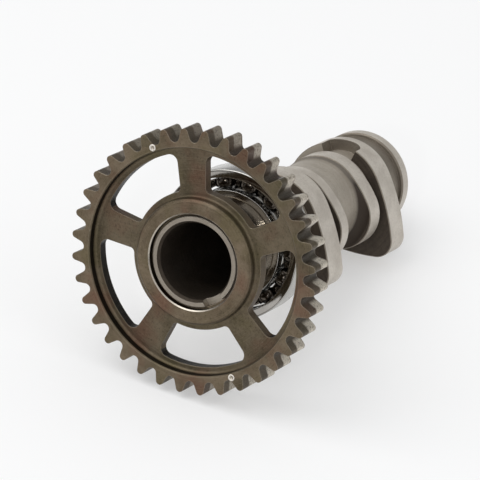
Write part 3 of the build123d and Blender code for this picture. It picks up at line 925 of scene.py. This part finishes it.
outer_ring = turned_piece("bearing_outer_ring_ground", grooved_section(OUTER_WALL, OUTER_SHOULDER))
lay_down(outer_ring, ring_steel, sharp=35)
finish_by_place(outer_ring, (ring_steel, ring_face_steel), ring_rule)
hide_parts("bearing_outer_ring")
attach(outer_ring, "outer_race")
inner_ring = turned_piece("bearing_inner_ring_ground", grooved_section(SEAT_RADIUS, INNER_SHOULDER))
lay_down(inner_ring, ring_steel, sharp=35)
finish_by_place(inner_ring, (ring_steel, ring_face_steel), ring_rule)
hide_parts("bearing_inner_ring")
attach(inner_ring, "shaft")

# %% [markdown]
# ## The balls
#
# Fourteen balls are lapped to a mirror. One is made where the photo shows it and the ring tree
# makes the others. A sphere of forty by twenty faces, shaded smooth, is round enough at this size.

# %% Fourteen polished balls
BALLS = 14
FIRST_BALL = 17.7
ball_steel = bare_metal("polished ball steel", "b9b9b9", 0.06, freckles=0.05)
bm = bmesh.new()
bmesh.ops.create_uvsphere(bm, u_segments=40, v_segments=20, radius=BALL_RADIUS,
                          matrix=Matrix.Translation(polar(PITCH_RADIUS, FIRST_BALL, BEARING_MIDDLE)))
balls = closed_piece(bm, "bearing_balls")
repeat_round(balls, BALLS, ball_steel)
lay_down(balls, ball_steel, sharp=60)
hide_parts(*[f"ball_{number:02d}" for number in range(1, BALLS + 1)])
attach(balls, "ball_train")

# %% [markdown]
# ## The cage
#
# Two pressed steel ribbons hold the balls apart. Each ribbon is flat between the balls and bulges
# over each of them, and rivets through the flats hold the two together. One wave of the ribbon is
# a small grid raised over a ball, the ring tree repeats it, and Solidify gives it its thickness.

# %% One wave of a ribbon
CAGE_THICK = 0.6
CAGE_INNER, CAGE_OUTER = 15.95, 18.05
POCKET = BALL_RADIUS + 0.1
cage_steel = bare_metal("pressed cage strip", "565049", 0.15, freckles=0.6, dark="2b2723")


def ribbon_wave(name, facing, across=10, around=60):
    """One ball's share of a ribbon; facing is -1 for the front half and 1 for the rear half."""
    bm = bmesh.new()
    grid = []
    middle = POCKET + CAGE_THICK / 2
    for i in range(around + 1):
        angle = FIRST_BALL + (i / around - 0.5) * 360 / BALLS
        row = []
        for j in range(across + 1):
            spot = polar(CAGE_INNER + (CAGE_OUTER - CAGE_INNER) * j / across, angle)
            away = (spot - polar(PITCH_RADIUS, FIRST_BALL)).length
            rise = sqrt(max(middle**2 - away**2, 0.0))
            spot.z = BEARING_MIDDLE + facing * max(rise, CAGE_THICK / 2)
            row.append(bm.verts.new(spot))
        grid.append(row)
    for i in range(around):
        for j in range(across):
            bm.faces.new((grid[i][j], grid[i + 1][j], grid[i + 1][j + 1], grid[i][j + 1]))
    return piece_from(bm, name)


print("cage ribbon:", CAGE_INNER, "to", CAGE_OUTER, "mm")

# %% Two wavy ribbons
for name, node, facing in (("cage_front_ribbon", "cage_front_half", -1),
                           ("cage_rear_ribbon", "cage_rear_half", 1)):
    ribbon = ribbon_wave(name, facing)
    repeat_round(ribbon, BALLS, cage_steel, merge_mm=0.002)
    wall = ribbon.modifiers.new("strip thickness", "SOLIDIFY")
    wall.thickness = CAGE_THICK
    wall.offset = 0.0
    make_plain(ribbon)
    bm = bmesh.new()
    bm.from_mesh(ribbon.data)
    bmesh.ops.recalc_face_normals(bm, faces=bm.faces)
    bm.to_mesh(ribbon.data)
    bm.free()
    lay_down(ribbon, cage_steel, sharp=40)
    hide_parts(node)
    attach(ribbon, "ball_train")

# %% [markdown]
# A rivet stands halfway between two balls and goes through both ribbons, with a low domed head at
# each end. One is turned about its own axis, moved to its place, and repeated by the ring tree.

# %% Fourteen rivets
HEAD = CAGE_THICK + 0.3
SHANK_RADIUS, HEAD_RADIUS = 0.42, 0.7
rivet = turned_piece("cage_rivet_heads", [
    (0.03, -HEAD), (0.3, -HEAD + 0.02), (0.55, -HEAD + 0.12), (HEAD_RADIUS, -CAGE_THICK + 0.02),
    (SHANK_RADIUS, -CAGE_THICK), (SHANK_RADIUS, CAGE_THICK),
    (HEAD_RADIUS, CAGE_THICK - 0.02), (0.55, HEAD - 0.12), (0.3, HEAD - 0.02), (0.03, HEAD)], steps=20)
rivet.data.transform(
    Matrix.Translation(polar(PITCH_RADIUS, FIRST_BALL + 180 / BALLS, BEARING_MIDDLE)))
repeat_round(rivet, BALLS, cage_steel)
lay_down(rivet, cage_steel, sharp=50)
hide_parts("cage_rivets")
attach(rivet, "ball_train")

# %% [markdown]
# ## Bench and world
#
# The photo was taken on a white sweep. A large pale floor takes the object's soft shadow. Part of
# the paper glows by itself to the camera and to the metal, which keeps the shadow light without
# more lamps. The world is a light tent: bright above and dimmer towards its sides, so faces that
# look at the camera stay darker than the tops. The camera sees a plain near-white backdrop.

# %% The pale floor
PAPER_GLOW = 0.4


def seen_by(tree, *kinds):
    """1 for the kinds of ray that are named, and 0 for all others."""
    rays = put(tree, "ShaderNodeLightPath").outputs
    seen = rays[kinds[0]]
    for kind in kinds[1:]:
        seen = maths(tree, "MAXIMUM", seen, rays[kind])
    return seen


def floor_finish():
    """Faintly mottled white paper that seems lit from below to the camera and to mirrors."""
    material = bpy.data.materials.new("pale paper sweep")
    material.use_nodes = True
    tree = material.node_tree
    tree.nodes.clear()
    inputs = {"Vector": put(tree, "ShaderNodeTexCoord").outputs["Object"], "Scale": 3.0, "Detail": 2.0}
    mottle = put(tree, "ShaderNodeTexNoise", inputs).outputs["Fac"]
    paper = blend_colours(tree, mottle, "fbfbfb", "f9f9f9")
    surface = put(tree, "ShaderNodeBsdfPrincipled", {"Base Color": paper, "Roughness": 0.85})
    glow = put(tree, "ShaderNodeEmission", {"Color": linear("ffffff"), "Strength": 1.0})
    seen = seen_by(tree, "Is Camera Ray", "Is Glossy Ray", "Is Transmission Ray")
    share = maths(tree, "MULTIPLY", seen, PAPER_GLOW)
    lit = put(tree, "ShaderNodeMixShader", {0: share, 1: surface.outputs[0], 2: glow.outputs[0]})
    put(tree, "ShaderNodeOutputMaterial", {"Surface": lit.outputs[0]})
    return material


bm = bmesh.new()
bmesh.ops.create_grid(bm, x_segments=1, y_segments=1, size=4.0)
sweep = closed_piece(bm, "bench_sweep")
sweep.data.materials.append(floor_finish())
print("floor:", sweep.name)

# %% The light tent
SIDE_LIGHT, TOP_LIGHT = 0.32, 1.0
world = bpy.data.worlds.new("soft studio")
bpy.context.scene.world = world
world.use_nodes = True
tree = world.node_tree
tree.nodes.clear()
direction = put(tree, "ShaderNodeTexCoord").outputs["Generated"]
upwards = put(tree, "ShaderNodeSeparateXYZ", {"Vector": direction}).outputs["Z"]
strength = spread(tree, upwards, 0.0, 1.0, SIDE_LIGHT, TOP_LIGHT)
fill = put(tree, "ShaderNodeBackground", {"Color": linear("f4f5f6"), "Strength": strength})
backdrop = put(tree, "ShaderNodeBackground", {"Color": linear("fcfcfc"), "Strength": 1.0})
seen = seen_by(tree, "Is Camera Ray", "Is Transmission Ray")
both = put(tree, "ShaderNodeMixShader", {0: seen, 1: fill.outputs[0], 2: backdrop.outputs[0]})
put(tree, "ShaderNodeOutputWorld", {"Surface": both.outputs[0]})
print("world:", world.name)

# %% [markdown]
# ## Lamps and camera
#
# A large soft lamp from the left and a smaller one from the right shape the shadow, and a small
# one near the camera gives the balls their bright points. The camera's place, turn and lens were
# worked out from the teeth, the windows and the shaft's round edges in the photo.


# %% Two soft lamps and a small one
def soft_lamp(name, place, size, watts):
    """A square lamp that looks at the middle of the object, its size in metres."""
    data = bpy.data.lights.new(name, "AREA")
    data.shape = "SQUARE"
    data.size = size
    data.energy = watts
    lamp = bpy.data.objects.new(name, data)
    lamp.location = place
    lamp.rotation_euler = (Vector((0, 0, 0.03)) - Vector(place)).to_track_quat("-Z", "Y").to_euler()
    bpy.context.scene.collection.objects.link(lamp)


soft_lamp("main softbox", (-0.60, -0.35, 1.05), 0.9, 4.8)
soft_lamp("side softbox", (0.95, -0.15, 0.55), 0.5, 0.8)
soft_lamp("small front lamp", (0.28, -0.95, 0.55), 0.07, 0.9)

# %% The camera, where the photo was taken from
camera_data = bpy.data.cameras.new("photo camera")
camera_data.sensor_width = 36.0
camera_data.lens = 301.58
camera_data.clip_start = 0.05
camera = bpy.data.objects.new("photo camera", camera_data)
camera.location = (0.41531, -0.86407, 0.58786)
camera.rotation_euler = (radians(59.226), radians(-4.167), radians(28.734))
bpy.context.scene.collection.objects.link(camera)
bpy.context.scene.camera = camera
bpy.context.scene.view_settings.view_transform = "Standard"
print("camera distance:", round(camera.location.length, 3), "m")
